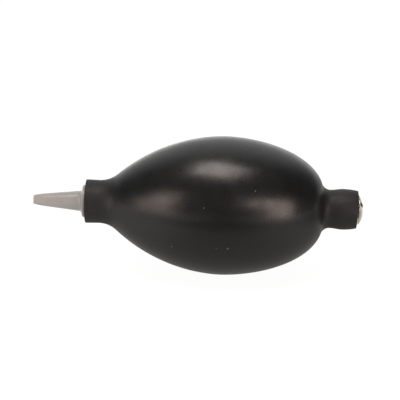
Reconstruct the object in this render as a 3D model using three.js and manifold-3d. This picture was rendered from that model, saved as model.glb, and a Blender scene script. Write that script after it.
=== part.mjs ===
// Dust blower bulb for watch repair: a hollow rubber bulb that is squeezed by hand, a push-fit nozzle in
// its front neck, and an air inlet valve with a ball and a spring in its rear neck.
// Millimetres, +Z up. Every turned part has its axis on X: the nozzle points along -X, the inlet along +X.
// The origin is on the axis, half way between the nozzle's tip and the inlet cap's crown.

import * as THREE from "three";
import { mergeVertices } from "three/addons/utils/BufferGeometryUtils.js";
import Module from "manifold-3d";

// Driving dimensions -----------------------------------------------------------------------------------

const BULB = {
  top: 25.46, // radius that the front and the rear curve both come up to
  rest: 25.4, // radius of the short level stretch that cuts them off, on which the bulb lies
  wall: 2.6,
};
const FRONT_CURVE = { x: 10.6, arc: 61.4 }; // a circle's arc, from the level stretch to the front neck
const REAR_CURVE = { x: 7.7, halfLength: 38.15, halfHeight: 19.6 }; // part of an ellipse, to the rear neck
const FRONT_NECK = { end: -41.25, radius: 7.85, flare: 0.12, bore: 4.9, fillet: 9.8, edge: 0.25 };
const REAR_NECK = {
  end: 58.5,
  root: 7.15,
  swell: 7.42, // radius of the neck's fullest place
  swellX: 53,
  mouth: 6.87,
  bore: 4.7,
  fillet: 2,
  edge: 0.25,
};
const THUMB = { x: 9.5, halfLength: 20, halfWidth: 14, gap: 0.3 }; // the patch that a thumb pushes in
const FACETS = 32; // of every turned piece
const PAST = 2; // how far a shape that cuts reaches past what it cuts
const NOZZLE = {
  tip: -60.5,
  tipRadius: 1.5,
  edge: 0.15, // of the tip and of the flange
  shoulder: 3, // length of the rounded stretch behind the tip
  shoulderRadius: 2.15,
  baseRadius: 3.7,
  foot: 0.5, // length of the round at the cone's foot
  flareRadius: 4.1, // where that round meets the flange's slanting front
  flare: 0.45, // length of the slanting front
  flange: 1.05,
  flangeRadius: 5.95,
  gap: 0.2, // between the flange and the neck's end face
  spigotEnd: -31.5,
  spigotRadius: 4.3,
  barbs: [0.7, 0.4], // where the barbs' steep sides are, as shares of the spigot's length from its end
  barbLength: 0.22, // as a share of the spigot's length
  barbRadius: 4.7,
  tipBore: 0.75,
  endBore: 1.9,
  boreStep: 2, // from the shoulder to where the bore narrows to tipBore
};
const HOUSING = {
  inner: 45.8,
  outer: 58.4,
  radius: 4.15,
  barbs: [0.08, 0.32, 0.56], // where the barbs start, as shares of the housing's length
  barbLength: 0.2, // as a share of the housing's length
  barbRadius: 4.55,
  collar: 1, // length of the plain collar at the outer end
  edge: 0.3,
  chamber: 3.2, // radius of the chamber that the ball and the spring are in
  floor: 47, // the shoulder that the spring stands on
  vent: 1.6, // radius of the hole into the bulb
};
const CAP = {
  under: 58.7,
  crown: 60.5,
  edge: 0.45, // height of the straight edge under the dome
  radius: 5.5,
  hole: 1.5,
  stemRadius: 3,
  stemEnd: 54.7,
  slotWidth: 1.7,
  slotFloor: 59.15,
  slotTurn: 48, // degrees from level
};
const SEAT = { inner: 1.7, outer: 2.9, from: 53.7, to: 54.6 };
const BALL = { x: 51.9, radius: 2.4 };
const SPRING = { from: 47.3, to: 50.1, radius: 2.1, wire: 0.2, turns: 4 };

// Materials --------------------------------------------------------------------------------------------

function material(color, roughness, metalness) {
  return new THREE.MeshStandardMaterial({ color, roughness, metalness });
}

const blackRubber = material(0x1c1b1b, 0.45, 0);
const greyPlastic = material(0x9b9690, 0.4, 0);
const nickel = material(0xc9c3b8, 0.15, 1);
const steel = material(0xb4b4b6, 0.2, 1);
const seatRubber = material(0x3a3533, 0.6, 0);

// Helpers ----------------------------------------------------------------------------------------------

const point = (x, r) => new THREE.Vector2(r, x); // a profile point: place along X, distance from the axis

// n + 1 profile points on a circle, from one angle to another: 0 degrees is along +X, 90 away from the axis.
function arc(x, r, radius, fromDeg, toDeg, n) {
  return Array.from({ length: n + 1 }, (_, i) => {
    const a = THREE.MathUtils.degToRad(fromDeg + ((toDeg - fromDeg) * i) / n);
    return point(x + radius * Math.cos(a), r + radius * Math.sin(a));
  });
}

// A closed profile, whose outer side runs towards +X, turned about X. Its flats are at the stated radius.
function turned(profile) {
  const grow = 1 / Math.cos(Math.PI / FACETS);
  const points = [...profile, profile[0]].map((p) => point(p.y, p.x * grow));
  return new THREE.LatheGeometry(points, FACETS, Math.PI / FACETS, 2 * Math.PI).rotateZ(-Math.PI / 2);
}

const wasm = await Module();
wasm.setup();

function solid(geometry) {
  const bare = geometry.clone().deleteAttribute("normal").deleteAttribute("uv");
  const merged = mergeVertices(bare, 1e-4);
  const vertProperties = new Float32Array(merged.attributes.position.array);
  const triVerts = new Uint32Array(merged.index.array);
  return new wasm.Manifold(new wasm.Mesh({ numProp: 3, vertProperties, triVerts }));
}

function geometryOf(made) {
  const mesh = made.getMesh();
  const geometry = new THREE.BufferGeometry();
  geometry.setAttribute("position", new THREE.BufferAttribute(mesh.vertProperties, 3));
  geometry.setIndex(new THREE.BufferAttribute(mesh.triVerts, 1));
  return geometry;
}

const blower = new THREE.Group();

function add(name, geometry, finish) {
  const mesh = new THREE.Mesh(geometry, finish);
  mesh.name = name;
  blower.add(mesh);
}

// Rubber bulb ------------------------------------------------------------------------------------------

// Where the front curve's circle, moved out by `out`, is r from the axis, as an angle about its centre.
function frontAngle(out, r) {
  const rise = r - (BULB.top - FRONT_CURVE.arc);
  return 180 - THREE.MathUtils.radToDeg(Math.asin(rise / (FRONT_CURVE.arc + out)));
}

// n + 1 points on the front curve, moved out by `out`, from one distance off the axis to another.
function frontCurve(out, fromR, toR, n) {
  const { x, arc: radius } = FRONT_CURVE;
  return arc(x, BULB.top - radius, radius + out, frontAngle(out, fromR), frontAngle(out, toR), n);
}

// The rear curve's point at an angle of its ellipse, moved out along the curve's normal.
function rearPoint(angle, out) {
  const { x, halfLength, halfHeight } = REAR_CURVE;
  const normal = point(Math.cos(angle) / halfLength, Math.sin(angle) / halfHeight).normalize();
  const onCurve = point(x + halfLength * Math.cos(angle), BULB.top - halfHeight * (1 - Math.sin(angle)));
  return onCurve.addScaledVector(normal, out);
}

// The angle at which the rear curve, moved out by `out`, is r from the axis, found by halving.
function rearAngle(out, r) {
  let low = -Math.PI / 4;
  let high = Math.PI / 2;
  for (let i = 0; i < 40; i++) {
    const middle = (low + high) / 2;
    if (rearPoint(middle, out).x < r) low = middle;
    else high = middle;
  }
  return low;
}

function rearCurve(out, fromR, toR, n) {
  const from = rearAngle(out, fromR);
  const to = rearAngle(out, toR);
  return Array.from({ length: n + 1 }, (_, i) => rearPoint(THREE.MathUtils.lerp(from, to, i / n), out));
}

function frontNeckOutside() {
  const { end, radius, flare, fillet, edge } = FRONT_NECK;
  // The fillet's circle touches the neck and the front curve.
  const centreR = radius + fillet;
  const touchDeg = frontAngle(fillet, centreR);
  const centreX = FRONT_CURVE.x + (FRONT_CURVE.arc + fillet) * Math.cos(THREE.MathUtils.degToRad(touchDeg));
  const lip = [point(end, radius + flare - edge), point(end + edge, radius + flare)];
  return [...lip, ...arc(centreX, centreR, fillet, 270, 180 + touchDeg, 5)];
}

function rearNeckOutside() {
  const { end, root, swell, swellX, mouth, fillet, edge } = REAR_NECK;
  // The fillet's circle touches the rear curve and the neck.
  const angle = rearAngle(fillet, root + fillet);
  const centre = rearPoint(angle, fillet);
  const touch = rearPoint(angle, 0).sub(centre);
  const touchDeg = THREE.MathUtils.radToDeg(Math.atan2(touch.x, touch.y)) + 360;
  const { lerp, smoothstep } = THREE.MathUtils;
  const swelling = (t) => point(lerp(centre.y, swellX, t), lerp(root, swell, smoothstep(t, 0, 1)));
  const narrowing = (t) => point(lerp(swellX, end - edge, t), lerp(swell, mouth, t ** 2));
  return [
    ...arc(centre.y, centre.x, fillet, touchDeg, 270, 4),
    ...[0.35, 0.65, 1].map(swelling),
    ...[0.4, 0.75, 1].map(narrowing),
    point(end, mouth - edge),
  ];
}

function bulbProfile() {
  const front = frontNeckOutside();
  const rear = rearNeckOutside();
  const inside = BULB.rest - BULB.wall;
  return [
    point(FRONT_NECK.end, FRONT_NECK.bore),
    ...front,
    ...frontCurve(0, front.at(-1).x, BULB.rest, 9).slice(1),
    ...rearCurve(0, BULB.rest, rear[0].x, 8).slice(0, -1),
    ...rear,
    point(REAR_NECK.end, REAR_NECK.bore),
    ...rearCurve(-BULB.wall, REAR_NECK.bore, inside, 8),
    ...frontCurve(-BULB.wall, inside, FRONT_NECK.bore, 8),
  ];
}

// An upright oval column over the widest place, which cuts the thumb patch out of the upper wall.
function thumbColumn(grow) {
  const oval = new THREE.Shape();
  oval.absellipse(THUMB.x, 0, THUMB.halfLength + grow, THUMB.halfWidth + grow, 0, 2 * Math.PI);
  const depth = BULB.top + PAST;
  return new THREE.ExtrudeGeometry(oval, { depth, bevelEnabled: false, curveSegments: 20 });
}

const shell = solid(turned(bulbProfile()));
add("bulb_body", geometryOf(shell.subtract(solid(thumbColumn(THUMB.gap)))), blackRubber);
add("bulb_thumb_wall", geometryOf(shell.intersect(solid(thumbColumn(0)))), blackRubber);

// Nozzle -----------------------------------------------------------------------------------------------

function nozzleProfile() {
  const n = NOZZLE;
  const flangeBack = FRONT_NECK.end - n.gap;
  const flangeFront = flangeBack - n.flange;
  const shoulderX = n.tip + n.shoulder;
  const barbDrop = n.barbRadius - n.spigotRadius;
  const spigot = n.spigotEnd - flangeBack;
  const barbs = n.barbs.flatMap((share) => {
    const from = n.spigotEnd - spigot * share;
    const to = from + spigot * n.barbLength;
    return [point(from, n.spigotRadius), point(from, n.barbRadius), point(to, n.spigotRadius)];
  });
  return [
    point(n.tip, n.tipBore),
    point(n.tip, n.tipRadius - n.edge),
    point(n.tip + n.edge, n.tipRadius),
    point(n.tip + n.shoulder * 0.4, THREE.MathUtils.lerp(n.tipRadius, n.shoulderRadius, 0.5)),
    point(shoulderX, n.shoulderRadius),
    point(flangeFront - n.flare - n.foot, n.baseRadius),
    point(flangeFront - n.flare - n.foot * 0.3, THREE.MathUtils.lerp(n.baseRadius, n.flareRadius, 0.4)),
    point(flangeFront - n.flare, n.flareRadius),
    point(flangeFront, n.flangeRadius - n.edge),
    point(flangeFront + n.edge, n.flangeRadius),
    point(flangeBack, n.flangeRadius),
    point(flangeBack, n.spigotRadius),
    ...barbs,
    point(n.spigotEnd - barbDrop, n.spigotRadius),
    point(n.spigotEnd, n.spigotRadius - barbDrop),
    point(n.spigotEnd, n.endBore),
    point(shoulderX + n.boreStep, n.tipBore),
  ];
}

add("nozzle", turned(nozzleProfile()), greyPlastic);

// Inlet valve: housing, spring, ball, seat washer and slotted cap, in the order in which they go in ----

function housingProfile() {
  const h = HOUSING;
  const length = h.outer - h.inner;
  const barbs = h.barbs.flatMap((share) => {
    const from = h.inner + length * share;
    const to = from + length * h.barbLength;
    return [point(from, h.radius), point(to, h.barbRadius), point(to, h.radius)];
  });
  return [
    point(h.inner, h.vent),
    point(h.inner, h.radius - h.edge),
    point(h.inner + h.edge, h.radius),
    ...barbs,
    point(h.outer - h.collar, h.radius),
    point(h.outer - h.collar, h.barbRadius),
    point(h.outer, h.barbRadius),
    point(h.outer, h.chamber),
    point(h.floor, h.chamber),
    point(h.floor, h.vent),
  ];
}

function capProfile() {
  const c = CAP;
  // The dome is part of a sphere from the straight edge's top to the crown, at the hole.
  const rise = c.crown - (c.under + c.edge);
  const sphere = (c.radius ** 2 - c.hole ** 2 + rise ** 2) / (2 * rise);
  const toCentre = Math.sqrt(sphere ** 2 - c.hole ** 2);
  const edgeDeg = THREE.MathUtils.radToDeg(Math.asin(c.radius / sphere));
  const holeDeg = THREE.MathUtils.radToDeg(Math.asin(c.hole / sphere));
  return [
    point(c.stemEnd, c.hole),
    point(c.stemEnd, c.stemRadius),
    point(c.under, c.stemRadius),
    point(c.under, c.radius),
    ...arc(c.crown - toCentre, 0, sphere, edgeDeg, holeDeg, 7),
  ];
}

function inletCap() {
  const height = CAP.crown + PAST - CAP.slotFloor;
  const slot = new THREE.BoxGeometry(height, 3 * CAP.radius, CAP.slotWidth);
  slot.translate(CAP.slotFloor + height / 2, 0, 0).rotateX(-THREE.MathUtils.degToRad(CAP.slotTurn));
  return geometryOf(solid(turned(capProfile())).subtract(solid(slot)));
}

class Helix extends THREE.Curve {
  getPoint(t, target = new THREE.Vector3()) {
    const turn = 2 * Math.PI * SPRING.turns * t;
    const x = THREE.MathUtils.lerp(SPRING.from, SPRING.to, t);
    return target.set(x, SPRING.radius * Math.cos(turn), SPRING.radius * Math.sin(turn));
  }
}

function springCoil() {
  const wire = new THREE.Shape();
  wire.absarc(0, 0, SPRING.wire, 0, 2 * Math.PI);
  const steps = 14 * SPRING.turns;
  const extrudePath = new Helix();
  return new THREE.ExtrudeGeometry(wire, { steps, curveSegments: 3, bevelEnabled: false, extrudePath });
}

function washerProfile() {
  const { inner, outer, from, to } = SEAT;
  return [point(from, inner), point(from, outer), point(to, outer), point(to, inner)];
}

add("valve_housing", turned(housingProfile()), nickel);
add("valve_spring", springCoil(), steel);
add("valve_ball", new THREE.SphereGeometry(BALL.radius, 20, 12).translate(BALL.x, 0, 0), steel);
add("valve_seat_washer", turned(washerProfile()), seatRubber);
add("inlet_cap", inletCap(), nickel);

export default blower;
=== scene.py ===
"""The looks of the dust blower bulb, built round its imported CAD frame.

Outlines are in millimetres: a profile point is (x, r), its place along the bulb's axis and its distance
from the axis. Angles round the axis are in degrees, 0 towards the camera's side (-Y) and 90 straight up.
"""

import math

import bmesh
import bpy
from mathutils import Matrix, Quaternion, Vector, noise


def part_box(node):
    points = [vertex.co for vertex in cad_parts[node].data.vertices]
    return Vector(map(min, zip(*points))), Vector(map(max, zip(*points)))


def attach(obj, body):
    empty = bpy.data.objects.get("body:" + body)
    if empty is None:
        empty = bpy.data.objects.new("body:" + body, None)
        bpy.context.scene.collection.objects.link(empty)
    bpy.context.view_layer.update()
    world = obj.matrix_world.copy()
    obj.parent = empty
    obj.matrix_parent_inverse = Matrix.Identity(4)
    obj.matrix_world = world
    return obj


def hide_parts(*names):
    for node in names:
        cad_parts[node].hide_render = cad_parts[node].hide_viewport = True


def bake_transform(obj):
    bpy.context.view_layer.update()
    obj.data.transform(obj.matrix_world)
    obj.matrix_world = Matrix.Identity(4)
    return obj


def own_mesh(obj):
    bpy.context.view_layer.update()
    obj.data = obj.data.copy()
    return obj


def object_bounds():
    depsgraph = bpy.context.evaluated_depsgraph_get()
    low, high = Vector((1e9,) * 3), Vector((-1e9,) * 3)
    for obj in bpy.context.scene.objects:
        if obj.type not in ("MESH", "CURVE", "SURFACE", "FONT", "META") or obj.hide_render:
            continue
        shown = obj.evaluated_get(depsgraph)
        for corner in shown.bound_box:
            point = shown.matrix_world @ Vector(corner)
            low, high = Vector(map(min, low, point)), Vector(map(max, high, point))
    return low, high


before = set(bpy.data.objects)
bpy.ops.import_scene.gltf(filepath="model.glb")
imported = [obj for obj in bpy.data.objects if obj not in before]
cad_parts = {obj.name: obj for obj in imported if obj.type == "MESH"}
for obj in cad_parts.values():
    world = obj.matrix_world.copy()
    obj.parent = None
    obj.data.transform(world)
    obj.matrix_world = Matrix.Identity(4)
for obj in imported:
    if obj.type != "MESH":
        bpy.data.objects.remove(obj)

MM = 0.001
CAD_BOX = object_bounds()

# The camera's side view. Its elevation also sets where the parting line and the cap's slot are seen.
VIEW_ELEVATION = 20
VIEW_AZIMUTH = 1.3
VIEW_ROLL = 1.41
VIEW_DISTANCE = 600
VIEW_LENS = 147
VIEW_CENTRE = (0.72, 1.69)  # where the view's centre is from the bulb's axis, to the right and up


# Profiles -------------------------------------------------------------------------------------------------


def span(node):
    """A CAD node's lowest and highest x, in millimetres."""
    low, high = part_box(node)
    return low.x / MM, high.x / MM


def lerp(a, b, t):
    return a + (b - a) * t


def portion(low, high, value):
    """How far value is from low to high, held between 0 and 1."""
    return min(1, max(0, (value - low) / (high - low)))


def arc(x, r, radius, from_deg, to_deg, count):
    """count + 1 points on a circle; 0 degrees points along +X and 90 away from the axis."""
    angles = [math.radians(lerp(from_deg, to_deg, i / count)) for i in range(count + 1)]
    return [(x + radius * math.cos(a), r + radius * math.sin(a)) for a in angles]


MOST_OF_SIDE = 0.49  # the largest share of a profile's side that the arc at its corner takes


def rounded(corners, steps=5):
    """A profile through (x, r, radius) corners, each turned into an arc of its own radius."""
    points = []
    for i, (x, r, radius) in enumerate(corners):
        here = Vector((x, r))
        if radius == 0 or i in (0, len(corners) - 1):
            points.append((x, r))
            continue
        back = Vector(corners[i - 1][:2]) - here
        ahead = Vector(corners[i + 1][:2]) - here
        half = back.angle(ahead) / 2
        reach = min(radius / math.tan(half), MOST_OF_SIDE * back.length, MOST_OF_SIDE * ahead.length)
        centre = here + (back.normalized() + ahead.normalized()).normalized() * (reach / math.cos(half))
        start = here + back.normalized() * reach - centre
        turn = (here + ahead.normalized() * reach - centre).angle_signed(start)
        for step in range(steps + 1):
            spoke = start.copy()
            spoke.rotate(Matrix.Rotation(turn * step / steps, 2))
            points.append(tuple(centre + spoke))
    return points


# Meshes ---------------------------------------------------------------------------------------------------


def mesh_object(name, vertices, faces, sharp_deg=40):
    """A smooth-shaded object from millimetre vertices, its normals pointing out."""
    mesh = bpy.data.meshes.new(name)
    mesh.from_pydata([Vector(v) * MM for v in vertices], [], faces)
    work = bmesh.new()
    work.from_mesh(mesh)
    bmesh.ops.remove_doubles(work, verts=work.verts, dist=1e-7)
    bmesh.ops.recalc_face_normals(work, faces=work.faces)
    work.to_mesh(mesh)
    work.free()
    mesh.shade_smooth()
    mesh.set_sharp_from_angle(angle=math.radians(sharp_deg))
    piece = bpy.data.objects.new(name, mesh)
    bpy.context.scene.collection.objects.link(piece)
    return piece


def even_columns(count):
    return [360 * i / count for i in range(count)]


def turned(name, profile, columns, closed=True, shape=None):
    """A profile turned about X. A closed one makes a ring, an open one starts and ends on the axis.
    shape(x, r, degrees) gives the true x and r of a point, for what isn't quite round."""
    vertices = []
    for degrees in columns:
        a = math.radians(degrees)
        for point in profile:
            x, r = shape(*point, degrees) if shape and point[1] > 0 else point
            vertices.append((x, -r * math.cos(a), r * math.sin(a)))
    rows = len(profile)
    last = rows if closed else rows - 1
    faces = []
    for c in range(len(columns)):
        here, there = c * rows, (c + 1) % len(columns) * rows
        for i in range(last):
            j = (i + 1) % rows
            corners = [here + i, here + j, there + j, there + i]
            if profile[i][1] == 0:
                corners.remove(there + i)
            if profile[j][1] == 0:
                corners.remove(there + j)
            faces.append(corners)
    return mesh_object(name, vertices, faces)


# Rubber bulb ----------------------------------------------------------------------------------------------

FRONT_END, REAR_END = span("bulb_body")
BULB_TOP = 25.46  # radius that the front and the rear curve both come up to
FRONT_X, FRONT_ARC = 10.6, 61.4  # the front curve: a circle's arc
REAR_X, REAR_LENGTH, REAR_HEIGHT = 7.7, 38.15, 19.6  # the rear curve: part of an ellipse
FRONT_NECK, FRONT_FLARE, FRONT_FILLET, FRONT_BORE = 7.85, 0.12, 9.8, 4.9
REAR_ROOT, REAR_FILLET, REAR_BORE = 6.98, 3.2, 4.7
REAR_SWELL, REAR_SWELL_X, REAR_MOUTH = 7.42, 53, 6.87
FRONT_DEPTH, REAR_DEPTH = 12, 14  # how deep the necks' bores go
LIP, BORE_LIP, BORE_CORNER = 0.22, 0.25, 0.5  # radii of the necks' outer edges and of their bores' ends
CREST_FROM, CREST_TO, CREST_EASE = 0, 20, 0.045  # the stretch over the top, where the two curves meet
WALL_WAVES = ((17, 0.06), (6, 0.02))  # unevenness of the moulded wall: the waves' size and depth
EVEN_UNDER, UNEVEN_FROM = 8, 20  # radii between which the unevenness starts
PARTING = VIEW_ELEVATION + 90  # the mould's parting line, on the outline that the camera sees
PARTING_HEIGHT, PARTING_WIDTH = 0.05, 0.6  # the line's ridge: its width is in degrees round the axis
MOUTH_SLANT = 0.36  # how much shorter the rear neck is below than above


def front_radius(x):
    return BULB_TOP - FRONT_ARC + math.sqrt(FRONT_ARC**2 - (x - FRONT_X) ** 2)


def rear_radius(x):
    return BULB_TOP - REAR_HEIGHT * (1 - math.sqrt(1 - ((x - REAR_X) / REAR_LENGTH) ** 2))


def crest_radius(x):
    """The lower of the two curves, with the corner between them smoothed."""
    front, rear = front_radius(x), rear_radius(x)
    return (front + rear) / 2 - math.hypot((front - rear) / 2, CREST_EASE)


def rear_point(angle, out):
    """The rear curve's point at an angle of its ellipse, moved out along the curve's normal."""
    normal = Vector((math.cos(angle) / REAR_LENGTH, math.sin(angle) / REAR_HEIGHT)).normalized()
    x = REAR_X + REAR_LENGTH * math.cos(angle) + out * normal.x
    return x, BULB_TOP - REAR_HEIGHT * (1 - math.sin(angle)) + out * normal.y


def rear_angle(out, r):
    """The angle at which the rear curve, moved out, is r from the axis, found by halving."""
    low, high = -math.pi / 4, math.pi / 2
    for _ in range(50):
        middle = (low + high) / 2
        if rear_point(middle, out)[1] < r:
            low = middle
        else:
            high = middle
    return low


def bulb_profile():
    # Front neck, with the fillet's circle touching the neck and the front curve.
    centre_r = FRONT_NECK + FRONT_FILLET
    reach = FRONT_ARC + FRONT_FILLET
    touch = math.asin((centre_r - BULB_TOP + FRONT_ARC) / reach)
    centre_x = FRONT_X - reach * math.cos(touch)
    mouth = rounded([
        (centre_x, 0, 0),
        (FRONT_END + FRONT_DEPTH, 0, 0),
        (FRONT_END + FRONT_DEPTH, FRONT_BORE, BORE_CORNER),
        (FRONT_END, FRONT_BORE, BORE_LIP),
        (FRONT_END, FRONT_NECK + FRONT_FLARE, LIP),
        (centre_x, FRONT_NECK, 0),
    ])[1:-1]
    fillet = arc(centre_x, centre_r, FRONT_FILLET, 270, 360 - math.degrees(touch), 14)
    front_from = fillet[-1][0]
    front = [(x, front_radius(x)) for x in (lerp(front_from, CREST_FROM, i / 24) for i in range(1, 24))]
    crest = [(x, crest_radius(x)) for x in (lerp(CREST_FROM, CREST_TO, i / 20) for i in range(21))]

    # Rear neck, with the fillet's circle touching the rear curve and the neck.
    meet = rear_angle(REAR_FILLET, REAR_ROOT + REAR_FILLET)
    root_x, root_r = rear_point(meet, REAR_FILLET)
    touch_x, touch_r = rear_point(meet, 0)
    crest_end = rear_angle(0, crest[-1][1])
    rear = [rear_point(lerp(crest_end, meet, i / 30), 0) for i in range(1, 30)]
    touch_deg = math.degrees(math.atan2(touch_r - root_r, touch_x - root_x)) % 360
    crease = arc(root_x, root_r, REAR_FILLET, touch_deg, 270, 10)
    swell = []
    for i in range(1, 11):
        t = i / 10
        swell.append((lerp(root_x, REAR_SWELL_X, t), lerp(REAR_ROOT, REAR_SWELL, t * t * (3 - 2 * t))))
    for i in range(1, 9):
        t = i / 10
        swell.append((lerp(REAR_SWELL_X, REAR_END, t), lerp(REAR_SWELL, REAR_MOUTH, t * t)))
    end = rounded([
        (*swell[-1], 0),
        (REAR_END, REAR_MOUTH, LIP),
        (REAR_END, REAR_BORE, BORE_LIP),
        (REAR_END - REAR_DEPTH, REAR_BORE, BORE_CORNER),
        (REAR_END - REAR_DEPTH, 0, 0),
    ])[1:]
    return mouth + fillet + front + crest + rear + crease + swell + end


def parting_columns():
    """Columns 2.5 degrees apart, and closer together over the two parting lines."""
    near = [-1.6, -1, -0.5, 0, 0.5, 1, 1.6]
    even = [2.5 * i for i in range(1, 72)]
    return [side + offset for side in (PARTING, PARTING + 180) for offset in near + even]


def bulb_shape(x, r, degrees):
    """The moulded wall isn't quite even, it has a fine ridge where the mould's halves met, and the rear
    neck's mouth isn't quite square."""
    a = math.radians(degrees)
    place = Vector((x, -r * math.cos(a), r * math.sin(a)))
    uneven = sum(depth * noise.noise(place / size) for size, depth in WALL_WAVES)
    offset = (degrees - PARTING + 90) % 180 - 90
    ridge = PARTING_HEIGHT * math.exp(-((offset / PARTING_WIDTH) ** 2))
    below = (1 - math.cos(math.radians(degrees - PARTING))) / 2
    back = MOUTH_SLANT * below * portion(REAR_SWELL_X, REAR_END, x)
    outside = r > REAR_BORE + 1
    return x - back, r + portion(EVEN_UNDER, UNEVEN_FROM, r) * uneven + (ridge if outside else 0)


# Nozzle ---------------------------------------------------------------------------------------------------

NOZZLE_TIP, NOZZLE_END = span("nozzle")
FLANGE_GAP, FLANGE_THICKNESS = 0.2, 1.05
FLANGE_BACK = FRONT_END - FLANGE_GAP
FLANGE_FRONT = FLANGE_BACK - FLANGE_THICKNESS
FLANGE_RADIUS, FLARE_RADIUS, FLARE, FOOT = 5.95, 4.1, 0.45, 0.5
CONE_START, CONE_SLOPE = 1.92, 0.106  # the straight cone, if it went on to the tip
TIP_DROP, TIP_ROUND = 0.36, 1.4  # how much smaller the tip is, and how soon that ends
SPIGOT_RADIUS, BARB_RADIUS = 4.3, 4.7
BARBS, BARB_LENGTH = (0.7, 0.4), 0.22  # where the barbs start and how long they are, as shares of the spigot
TIP_BORE, END_BORE = 0.75, 1.9


def cone_radius(x):
    """A straight cone that rounds off towards its tip."""
    behind = x - NOZZLE_TIP
    return CONE_START + CONE_SLOPE * behind - TIP_DROP * math.exp(-behind / TIP_ROUND)


def nozzle_profile():
    cone_from, cone_to = NOZZLE_TIP + 0.3, FLANGE_FRONT - FLARE - FOOT
    cone = [(x, cone_radius(x), 0) for x in (lerp(cone_from, cone_to, i / 24) for i in range(25))]
    spigot = FLANGE_BACK - NOZZLE_END
    barbs = []
    for part in BARBS:
        x = NOZZLE_END + spigot * part
        slope_end = x - spigot * BARB_LENGTH
        barbs += [(x, SPIGOT_RADIUS, 0.1), (x, BARB_RADIUS, 0.08), (slope_end, SPIGOT_RADIUS, 0.3)]
    return rounded([
        (NOZZLE_TIP + 4, TIP_BORE, 0),
        (NOZZLE_TIP, TIP_BORE, 0.1),
        (NOZZLE_TIP, cone_radius(cone_from) - 0.02, 0.14),
        *cone,
        (FLANGE_FRONT - FLARE, FLARE_RADIUS, 0.4),
        (FLANGE_FRONT + 0.05, FLANGE_RADIUS - 0.35, 0.15),
        (FLANGE_FRONT + 0.25, FLANGE_RADIUS, 0.15),
        (FLANGE_BACK, FLANGE_RADIUS, 0.2),
        (FLANGE_BACK, SPIGOT_RADIUS, 0.15),
        *barbs,
        (NOZZLE_END, SPIGOT_RADIUS - 0.2, 0.4),
        (NOZZLE_END, END_BORE, 0.2),
        (NOZZLE_TIP + 4.5, TIP_BORE, 0.5),
    ])


# Inlet valve ----------------------------------------------------------------------------------------------

HOUSING_FROM, HOUSING_TO = span("valve_housing")
HOUSING_RADIUS, HOUSING_BARB, CHAMBER, CHAMBER_FLOOR, VENT = 4.15, 4.55, 3.2, HOUSING_FROM + 1.2, 1.6
STEM_END, CROWN = span("inlet_cap")
CAP_UNDER = REAR_END + 0.2
CAP_RADIUS, CAP_EDGE, CAP_HOLE, STEM_RADIUS = 5.5, 0.2, 1.5, 3
SLOT_WIDTH, SLOT_FLOOR, SLOT_TURN = 1.7, CROWN - 1.35, 48
WASHER_FROM, WASHER_TO = span("valve_seat_washer")
WASHER_INNER, WASHER_OUTER = 1.7, 2.9
BALL_FROM, BALL_TO = span("valve_ball")
SPRING_FROM, SPRING_TO = span("valve_spring")
SPRING_RADIUS, SPRING_WIRE, SPRING_TURNS = 2.1, 0.2, 4
HOUSING_BARBS, HOUSING_BARB_LENGTH = (0.08, 0.32, 0.56), 0.2  # shares of the housing's length
COLLAR = 1  # length of the housing's plain end


def housing_profile():
    length = HOUSING_TO - HOUSING_FROM
    barbs = []
    for part in HOUSING_BARBS:
        x = HOUSING_FROM + length * part
        ridge = x + length * HOUSING_BARB_LENGTH
        barbs += [(x, HOUSING_RADIUS, 0.2), (ridge, HOUSING_BARB, 0.06), (ridge, HOUSING_RADIUS, 0.06)]
    return rounded([
        (HOUSING_FROM + 0.6, VENT, 0),
        (HOUSING_FROM, VENT, 0.15),
        (HOUSING_FROM, HOUSING_RADIUS, 0.3),
        *barbs,
        (HOUSING_TO - COLLAR, HOUSING_RADIUS, 0.06),
        (HOUSING_TO - COLLAR, HOUSING_BARB, 0.06),
        (HOUSING_TO, HOUSING_BARB, 0.12),
        (HOUSING_TO, CHAMBER, 0.12),
        (CHAMBER_FLOOR, CHAMBER, 0.2),
        (CHAMBER_FLOOR, VENT, 0.15),
    ])


def cap_sphere():
    """The centre's x and the radius of the sphere that the cap's dome is part of."""
    rise = CROWN - CAP_UNDER - CAP_EDGE
    sphere = (CAP_RADIUS**2 - CAP_HOLE**2 + rise**2) / (2 * rise)
    return CROWN - math.sqrt(sphere**2 - CAP_HOLE**2), sphere


def cap_profile():
    centre, sphere = cap_sphere()
    edge, hole = math.degrees(math.asin(CAP_RADIUS / sphere)), math.degrees(math.asin(CAP_HOLE / sphere))
    dome = [(x, r, 0) for x, r in arc(centre, 0, sphere, edge - 1, hole + 1, 24)]
    return rounded([
        (STEM_END + 0.6, CAP_HOLE, 0),
        (STEM_END, CAP_HOLE, 0.1),
        (STEM_END, STEM_RADIUS, 0.25),
        (CAP_UNDER, STEM_RADIUS, 0.1),
        (CAP_UNDER, CAP_RADIUS, 0.08),
        (CAP_UNDER + CAP_EDGE, CAP_RADIUS, 0.15),
        *dome,
        (CROWN, CAP_HOLE, 0.12),
        (CROWN - 1, CAP_HOLE, 0),
    ])


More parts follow.
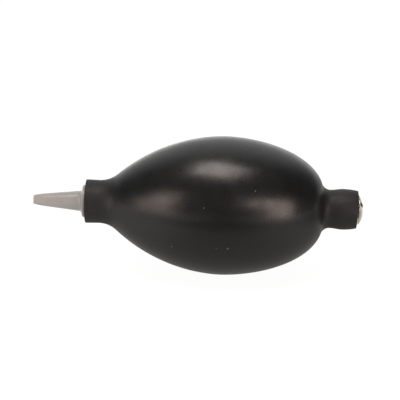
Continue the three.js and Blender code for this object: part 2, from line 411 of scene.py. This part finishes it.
def slotted_cap():
    """The turned cap with its slot cut across it and its edges softened."""
    cap = turned("inlet_cap_dome", cap_profile(), even_columns(128))
    height = CROWN + 1 - SLOT_FLOOR
    bpy.ops.mesh.primitive_cube_add(size=1)
    slot = bpy.context.active_object
    slot.scale = Vector((height, 3 * CAP_RADIUS, SLOT_WIDTH)) * MM
    slot.location = Vector((SLOT_FLOOR + height / 2, 0, 0)) * MM
    slot.rotation_euler = (-math.radians(SLOT_TURN), 0, 0)
    bpy.context.view_layer.update()
    cut = cap.modifiers.new("slot", "BOOLEAN")
    cut.object = slot
    cut.solver = "EXACT"
    bevel = cap.modifiers.new("edges", "BEVEL")
    bevel.width = 0.06 * MM
    bevel.segments = 2
    bevel.limit_method = "ANGLE"
    bevel.angle_limit = math.radians(40)
    settle(cap)
    bpy.data.objects.remove(slot)
    return cap


def settle(piece):
    """Applies a piece's modifiers to its mesh."""
    graph = bpy.context.evaluated_depsgraph_get()
    done = bpy.data.meshes.new_from_object(piece.evaluated_get(graph))
    piece.modifiers.clear()
    piece.data = done
    done.shade_smooth()
    done.set_sharp_from_angle(angle=math.radians(35))


def coil(name):
    """A light coil of round wire whose end turns lie flat."""
    wire_sides, steps = 12, 48 * SPRING_TURNS
    vertices, faces = [], []
    for i in range(steps + 1):
        t = i / steps
        climb = t - math.sin(2 * math.pi * t) / (2 * math.pi) * 0.5
        x = lerp(SPRING_FROM + SPRING_WIRE, SPRING_TO - SPRING_WIRE, climb)
        a = 2 * math.pi * SPRING_TURNS * t
        spoke = Vector((0, math.cos(a), math.sin(a)))
        for s in range(wire_sides):
            b = 2 * math.pi * s / wire_sides
            out = spoke * (SPRING_RADIUS + SPRING_WIRE * math.cos(b))
            vertices.append((x + SPRING_WIRE * math.sin(b), out.y, out.z))
    for i in range(steps):
        here, there = i * wire_sides, (i + 1) * wire_sides
        for s in range(wire_sides):
            t = (s + 1) % wire_sides
            faces.append([here + s, here + t, there + t, there + s])
    faces.append(list(range(wire_sides)))
    faces.append(list(range(steps * wire_sides, (steps + 1) * wire_sides)))
    return mesh_object(name, vertices, faces)


# Materials ------------------------------------------------------------------------------------------------


def combined(tree, operation, *values):
    """A Math node of sockets and numbers."""
    made = tree.nodes.new("ShaderNodeMath")
    made.operation = operation
    for socket, value in zip(made.inputs, values):
        if isinstance(value, bpy.types.NodeSocket):
            tree.links.new(value, socket)
        else:
            socket.default_value = value
    return made.outputs[0]


def ranged(tree, value, from_low, from_high, to_low, to_high, interpolation="SMOOTHSTEP"):
    """A Map Range node from a socket, smooth at both ends unless it is LINEAR."""
    made = tree.nodes.new("ShaderNodeMapRange")
    made.interpolation_type = interpolation
    for socket, number in zip(list(made.inputs)[1:5], (from_low, from_high, to_low, to_high)):
        socket.default_value = number
    tree.links.new(value, made.inputs["Value"])
    return made.outputs["Result"]


def measured(tree, operation, vector, constant):
    """A Vector Math node's value from a vector socket and a constant vector."""
    made = tree.nodes.new("ShaderNodeVectorMath")
    made.operation = operation
    made.inputs[1].default_value = constant
    tree.links.new(vector, made.inputs[0])
    return made.outputs["Value"]


def axes(tree, vector):
    """A vector socket's X, Y and Z sockets."""
    made = tree.nodes.new("ShaderNodeSeparateXYZ")
    tree.links.new(vector, made.inputs["Vector"])
    return made.outputs


class Nodes:
    """A material's node tree, with short calls for the nodes that the materials here share."""

    def __init__(self, name):
        self.material = bpy.data.materials.new(name)
        self.material.use_nodes = True
        self.tree = self.material.node_tree
        self.shader = self.tree.nodes["Principled BSDF"]
        self.place = self.tree.nodes.new("ShaderNodeTexCoord").outputs["Object"]

    def node(self, kind, **inputs):
        made = self.tree.nodes.new(kind)
        for name, value in inputs.items():
            made.inputs[name.replace("_", " ")].default_value = value
        return made

    def link(self, source, target):
        self.tree.links.new(source, target)

    def noise(self, feature_mm, detail=3, roughness=0.55):
        """Noise whose features are about that many millimetres across."""
        scale = 1 / (feature_mm * MM)
        made = self.node("ShaderNodeTexNoise", Scale=scale, Detail=detail, Roughness=roughness)
        self.link(self.place, made.inputs["Vector"])
        return made.outputs["Fac"]

    def remap(self, value, from_low, from_high, to_low, to_high):
        return ranged(self.tree, value, from_low, from_high, to_low, to_high, "LINEAR")

    def mix(self, factor, a, b):
        """Colour a where factor is 0 and colour b where it is 1; each is a colour or a socket."""
        made = self.node("ShaderNodeMix")
        made.data_type = "RGBA"
        self.link(factor, made.inputs["Factor"])
        for socket, colour in ((made.inputs[6], a), (made.inputs[7], b)):
            if isinstance(colour, tuple):
                socket.default_value = (*colour, 1)
            else:
                self.link(colour, socket)
        return made.outputs[2]

    def larger(self, a, b):
        return combined(self.tree, "MAXIMUM", a, b)

    def blend_values(self, factor, a, b):
        """Value a where factor is 0 and value b where it is 1."""
        made = self.node("ShaderNodeMix")
        self.link(factor, made.inputs["Factor"])
        self.link(a, made.inputs[2])
        self.link(b, made.inputs[3])
        return made.outputs[0]

    def bump(self, height, depth_mm, normal=None):
        made = self.node("ShaderNodeBump", Strength=1, Distance=depth_mm * MM)
        self.link(height, made.inputs["Height"])
        if normal:
            self.link(normal, made.inputs["Normal"])
        return made.outputs["Normal"]

    def finish(self, **sockets):
        """Sets the shader's sockets: a socket is linked, and a number or colour is set."""
        for name, value in sockets.items():
            target = self.shader.inputs[name.replace("_", " ")]
            if isinstance(value, bpy.types.NodeSocket):
                self.link(value, target)
            elif target.type == "RGBA":
                target.default_value = (*value, 1)
            else:
                target.default_value = value
        return self.material


DULL_FRONT, DULL_REAR = (-34, -27), (42, 48)  # the stretches over which the necks' duller rubber fades
PINK_LENGTH = 12  # how far behind the nozzle's tip its pinker plastic fades out

# Specks of dust and a small pit, each at its (x, angle round the axis, radius).
SPECKS = (
    (20.6, 33, 0.3),
    (11.5, -17, 0.42),
    (2.6, 17.5, 0.25),
    (-8.6, -23, 0.25),
    (7.4, -17, 0.2),
    (-2, 150, 0.3),
)


def on_bulb(x, degrees):
    """The place on the bulb's surface at x and at an angle round the axis, in metres."""
    a = math.radians(degrees)
    r = front_radius(x) if x < REAR_X else crest_radius(x) if x < CREST_TO else rear_radius(x)
    return Vector((x, -r * math.cos(a), r * math.sin(a))) * MM


def rubber():
    """Black rubber with a soft gloss, duller on the necks, with a patchy bloom and a little pale dust."""
    n = Nodes("black rubber")
    bloom = n.remap(n.noise(16), 0.35, 0.7, 0, 1)
    colour = n.mix(bloom, (0.0084, 0.0092, 0.0100), (0.0116, 0.0122, 0.0128))
    cells = n.node("ShaderNodeTexVoronoi", Scale=1 / (14 * MM))
    n.link(n.place, cells.inputs["Vector"])
    dust = n.remap(cells.outputs["Distance"], 0.012, 0.006, 0, 1)
    for x, degrees, radius in SPECKS:
        away = measured(n.tree, "DISTANCE", n.place, on_bulb(x, degrees))
        dust = n.larger(dust, n.remap(away, radius * MM, 0.3 * radius * MM, 0, 1))
    colour = n.mix(dust, colour, (0.24, 0.23, 0.21))
    along = axes(n.tree, n.place)["X"]
    front = n.remap(along, DULL_FRONT[0] * MM, DULL_FRONT[1] * MM, 1, 0)
    rear = n.remap(along, DULL_REAR[0] * MM, DULL_REAR[1] * MM, 0, 1)
    satin = n.remap(n.noise(5, detail=5), 0.3, 0.7, 0.24, 0.32)
    dull = n.remap(n.noise(1.5, detail=5), 0.3, 0.7, 0.52, 0.66)
    roughness = n.blend_values(n.larger(front, rear), satin, dull)
    waves = n.bump(n.noise(5, detail=3), 0.03)
    grain = n.bump(n.noise(0.35, detail=2), 0.003, waves)
    return n.finish(Base_Color=colour, Roughness=roughness, Normal=grain, IOR=1.52)


def plastic():
    """Warm grey moulded plastic that lets a little light in, pinker towards the tip."""
    n = Nodes("grey plastic")
    along = axes(n.tree, n.place)["X"]
    pink = n.remap(along, NOZZLE_TIP * MM, (NOZZLE_TIP + PINK_LENGTH) * MM, 1, 0)
    patch = n.remap(n.noise(3.5), 0.35, 0.7, 0, 1)
    colour = n.mix(patch, (0.45, 0.455, 0.46), (0.49, 0.48, 0.48))
    colour = n.mix(pink, colour, (0.53, 0.495, 0.49))
    roughness = n.remap(n.noise(1.2, detail=4), 0.3, 0.7, 0.19, 0.28)
    grain = n.bump(n.noise(0.3, detail=2), 0.002)
    return n.finish(
        Base_Color=colour, Roughness=roughness, Normal=grain, IOR=1.49,
        Subsurface_Weight=0.25, Subsurface_Scale=0.6 * MM, Subsurface_Radius=(1, 0.8, 0.65),
    )


def slot_painted_shade(n):
    """Painted shade: 1 in the corners and on the side walls of the cap's slot, where shade falls, 0
    elsewhere.
    """
    centre, sphere = cap_sphere()
    from_centre = measured(n.tree, "DISTANCE", n.place, (centre * MM, 0, 0))
    sunk = n.remap(from_centre, (sphere - 0.04) * MM, (sphere - 0.2) * MM, 0, 1)
    along = axes(n.tree, n.place)["X"]
    in_slot = n.remap(along, (SLOT_FLOOR - 0.15) * MM, (SLOT_FLOOR - 0.05) * MM, 0, 1)
    turn = math.radians(SLOT_TURN)
    across = measured(n.tree, "DOT_PRODUCT", n.place, (0, math.sin(turn), math.cos(turn)))
    off_middle = combined(n.tree, "ABSOLUTE", across)
    at_wall = n.remap(off_middle, 0.26 * SLOT_WIDTH * MM, 0.46 * SLOT_WIDTH * MM, 0, 1)
    return combined(n.tree, "MULTIPLY", combined(n.tree, "MULTIPLY", sunk, in_slot), at_wall)


def nickel(name, shaded_slot=False):
    """Polished nickel plating with a slightly warm cast and faint wipe marks; on the slotted cap, painted
    shade darkens the slot.
    """
    n = Nodes(name)
    tarnish = n.remap(n.noise(2.5, detail=4), 0.4, 0.75, 0, 1)
    colour = n.mix(tarnish, (0.74, 0.70, 0.64), (0.63, 0.575, 0.51))
    roughness = n.remap(n.noise(0.8, detail=5), 0.3, 0.7, 0.09, 0.2)
    if shaded_slot:
        # Painted shade: the slot's corners and side walls are darkened where shade falls.
        colour = n.mix(slot_painted_shade(n), colour, (0.07, 0.06, 0.055))
    marks = n.bump(n.noise(0.15, detail=3), 0.0008)
    return n.finish(Base_Color=colour, Metallic=1.0, Roughness=roughness, Normal=marks)


def steel(name, colour, dark, low, high):
    """Bright steel whose polish varies a little."""
    n = Nodes(name)
    roughness = n.remap(n.noise(0.7, detail=4), 0.3, 0.7, low, high)
    tone = n.mix(n.noise(1.5), colour, dark)
    return n.finish(Base_Color=tone, Metallic=1.0, Roughness=roughness, Normal=n.bump(n.noise(0.1), 0.0006))


def seat_rubber():
    n = Nodes("seat rubber")
    tone = n.mix(n.noise(1.2), (0.028, 0.025, 0.024), (0.05, 0.045, 0.042))
    roughness = n.remap(n.noise(0.6), 0.3, 0.7, 0.5, 0.7)
    return n.finish(Base_Color=tone, Roughness=roughness, Normal=n.bump(n.noise(0.15), 0.004))


# Pieces ---------------------------------------------------------------------------------------------------


def dress(piece, material, slot, *nodes):
    """Gives a piece its material, and hides the CAD nodes that it stands for. The slot is not used."""
    piece.data.materials.clear()
    piece.data.materials.append(material)
    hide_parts(*nodes)
    return piece


def build_bulb():
    bulb = turned("rubber_bulb", bulb_profile(), parting_columns(), closed=False, shape=bulb_shape)
    dress(bulb, rubber(), "bulb_rubber", "bulb_body", "bulb_thumb_wall")
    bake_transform(bulb)


def build_nozzle():
    nozzle = turned("grey_nozzle", nozzle_profile(), even_columns(96))
    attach(dress(nozzle, plastic(), "nozzle_plastic", "nozzle"), "nozzle")


def build_cap():
    cap = slotted_cap()
    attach(dress(cap, nickel("slotted nickel", shaded_slot=True), "valve_nickel", "inlet_cap"), "root")


def build_housing():
    housing = turned("valve_bush", housing_profile(), even_columns(96))
    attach(dress(housing, nickel("plain nickel"), "valve_nickel", "valve_housing"), "root")


def build_washer():
    middle = (WASHER_INNER + WASHER_OUTER) / 2
    washer = turned("seat_washer", rounded([
        (WASHER_FROM, middle, 0),
        (WASHER_FROM, WASHER_OUTER, 0.12),
        (WASHER_TO, WASHER_OUTER, 0.12),
        (WASHER_TO, WASHER_INNER, 0.1),
        (WASHER_FROM, WASHER_INNER, 0.25),
        (WASHER_FROM, middle - 0.05, 0),
    ]), even_columns(72))
    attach(dress(washer, seat_rubber(), "seat_rubber", "valve_seat_washer"), "root")


def build_ball():
    centre, radius = (BALL_FROM + BALL_TO) / 2, (BALL_TO - BALL_FROM) / 2
    half_circle = [(x, max(0.0, r)) for x, r in arc(centre, 0, radius, 180, 0, 32)]
    half_circle[0], half_circle[-1] = (centre - radius, 0), (centre + radius, 0)
    ball = turned("steel_ball", half_circle, even_columns(64), closed=False)
    bright = steel("ball steel", (0.62, 0.62, 0.63), (0.55, 0.55, 0.56), 0.06, 0.14)
    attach(dress(ball, bright, "ball_steel", "valve_ball"), "valve_ball")


def build_spring():
    spring = coil("coil_spring")
    wire = steel("spring wire", (0.52, 0.52, 0.52), (0.4, 0.39, 0.38), 0.25, 0.4)
    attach(dress(spring, wire, "spring_steel", "valve_spring"), "root")
    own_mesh(spring)


# Stage ----------------------------------------------------------------------------------------------------


def build_floor():
    """A plain pale floor. The camera sees it as bright as the backdrop, with only a faint shadow.
    In the bulb's reflections it glows with painted light: bright behind the bulb, with a painted shadow
    under it, and dark towards the camera."""
    bpy.ops.mesh.primitive_circle_add(vertices=96, radius=6, fill_type="NGON")
    floor = bpy.context.active_object
    floor.name = "floor"
    floor.location.z = CAD_BOX[0].z
    material = bpy.data.materials.new("pale floor")
    material.use_nodes = True
    tree = material.node_tree
    tree.nodes.clear()
    add, link = tree.nodes.new, tree.links.new
    place = axes(tree, add("ShaderNodeTexCoord").outputs["Object"])
    behind = ranged(tree, place["Y"], 0.01, 0.09, 0.4, 1.25)
    under = ranged(tree, place["Y"], -0.035, 0, 1.1, 0.8)
    front = ranged(tree, place["Y"], -0.13, -0.05, 0.2, 1)
    left = ranged(tree, place["X"], -0.06, 0, 1.8, 1)
    right = ranged(tree, place["X"], 0.02, 0.07, 1, 1.5)
    beyond = ranged(tree, place["X"], 0.07, 0.16, 1, 0.5)
    level = behind
    for share in (under, front, left, right, beyond):
        level = combined(tree, "MULTIPLY", level, share)
    # Painted pools of light from the two side lights, towards the camera and to either side.
    side = ranged(tree, combined(tree, "ABSOLUTE", place["X"]), 0.05, 0.18, 0, 0.8)
    near = ranged(tree, place["Y"], -0.15, -0.04, 1, 0)
    level = combined(tree, "ADD", level, combined(tree, "MULTIPLY", side, near))
    mirrored = add("ShaderNodeEmission")
    mirrored.inputs["Color"].default_value = (1, 0.95, 0.91, 1)
    link(level, mirrored.inputs["Strength"])
    glow, paint = add("ShaderNodeEmission"), add("ShaderNodeBsdfDiffuse")
    glow.inputs["Strength"].default_value = 0.96
    paint.inputs["Color"].default_value = (0.12, 0.12, 0.12, 1)
    seen, choose, ray = add("ShaderNodeAddShader"), add("ShaderNodeMixShader"), add("ShaderNodeLightPath")
    link(paint.outputs[0], seen.inputs[0])
    link(glow.outputs[0], seen.inputs[1])
    link(ray.outputs["Is Camera Ray"], choose.inputs[0])
    link(mirrored.outputs[0], choose.inputs[1])
    link(seen.outputs[0], choose.inputs[2])
    link(choose.outputs[0], add("ShaderNodeOutputMaterial").inputs["Surface"])
    floor.data.materials.append(material)


def build_world():
    """A white backdrop behind the object, and a dim room at its sides, above it and round the camera."""
    world = bpy.data.worlds.new("studio")
    bpy.context.scene.world = world
    world.use_nodes = True
    tree = world.node_tree
    tree.nodes.clear()
    add, link = tree.nodes.new, tree.links.new
    direction = add("ShaderNodeTexCoord").outputs["Generated"]
    split = axes(tree, direction)
    room, white = add("ShaderNodeBackground"), add("ShaderNodeBackground")
    white.inputs["Color"].default_value = (1, 1, 1, 1)
    ray, choose = add("ShaderNodeLightPath"), add("ShaderNodeMixShader")
    towards = measured(tree, "DOT_PRODUCT", direction, Vector((0, 1, 0.4)).normalized())
    wall = ranged(tree, towards, 0.4, 0.92, 0.14, 1.0)
    low = ranged(tree, split["Z"], 0, 0.35, 0.55, 0)
    back = ranged(tree, split["Y"], 0.4, 0.9, 0, 1)
    glare = combined(tree, "MULTIPLY", low, back)
    bright = combined(tree, "ADD", wall, glare)
    right = ranged(tree, split["X"], 0.3, 0.75, 1, 0.4)
    link(combined(tree, "MULTIPLY", bright, right), room.inputs["Strength"])
    link(ray.outputs["Is Camera Ray"], choose.inputs[0])
    link(room.outputs[0], choose.inputs[1])
    link(white.outputs[0], choose.inputs[2])
    link(choose.outputs[0], add("ShaderNodeOutputWorld").inputs["Surface"])


# Each light's name, direction from the bulb, width and height in metres, roll in degrees, and radiance.
SOFTBOXES = (
    ("overhead", (-0.07, -0.17, 0.98), 0.56, 0.42, 0, (5.9, 5.35, 4.95)),
    ("left", (-0.78, -0.61, 0.11), 0.50, 0.58, 24, (2.35, 1.9, 1.65)),
    ("left wall", (-0.68, -0.62, 0.42), 0.36, 0.34, 10, (2.0, 1.7, 1.55)),
    ("right", (0.69, -0.71, 0.17), 0.34, 0.54, -8, (4.6, 3.7, 3.3)),
    ("right wall", (0.45, -0.82, 0.40), 0.36, 0.20, -8, (3.4, 2.8, 2.5)),
)


def softbox(name, towards, width, height, roll, radiance):
    """An area light one metre from the bulb."""
    away = Vector(towards).normalized()
    lamp = bpy.data.lights.new(name, "AREA")
    lamp.shape, lamp.size, lamp.size_y = "RECTANGLE", width, height
    lamp.energy = max(radiance) * math.pi * width * height
    lamp.color = [channel / max(radiance) for channel in radiance]
    holder = bpy.data.objects.new(name, lamp)
    holder.location = away
    turn = away.to_track_quat("Z", "Y") @ Quaternion((0, 0, 1), math.radians(roll))
    holder.rotation_euler = turn.to_euler()
    bpy.context.scene.collection.objects.link(holder)


def build_camera():
    e, a = math.radians(VIEW_ELEVATION), math.radians(VIEW_AZIMUTH)
    back = Vector((math.sin(a) * math.cos(e), -math.cos(a) * math.cos(e), math.sin(e)))
    turn = back.to_track_quat("Z", "Y") @ Quaternion((0, 0, 1), math.radians(VIEW_ROLL))
    camera = bpy.data.objects.new("camera", bpy.data.cameras.new("camera"))
    camera.data.lens = VIEW_LENS
    camera.location = turn @ Vector((*VIEW_CENTRE, VIEW_DISTANCE)) * MM
    camera.rotation_euler = turn.to_euler()
    bpy.context.scene.collection.objects.link(camera)
    bpy.context.scene.camera = camera


build_camera()
build_bulb()
build_nozzle()
build_cap()
build_housing()
build_washer()
build_ball()
build_spring()
build_floor()
build_world()
for light in SOFTBOXES:
    softbox(*light)
bpy.context.scene.view_settings.view_transform = "Standard"
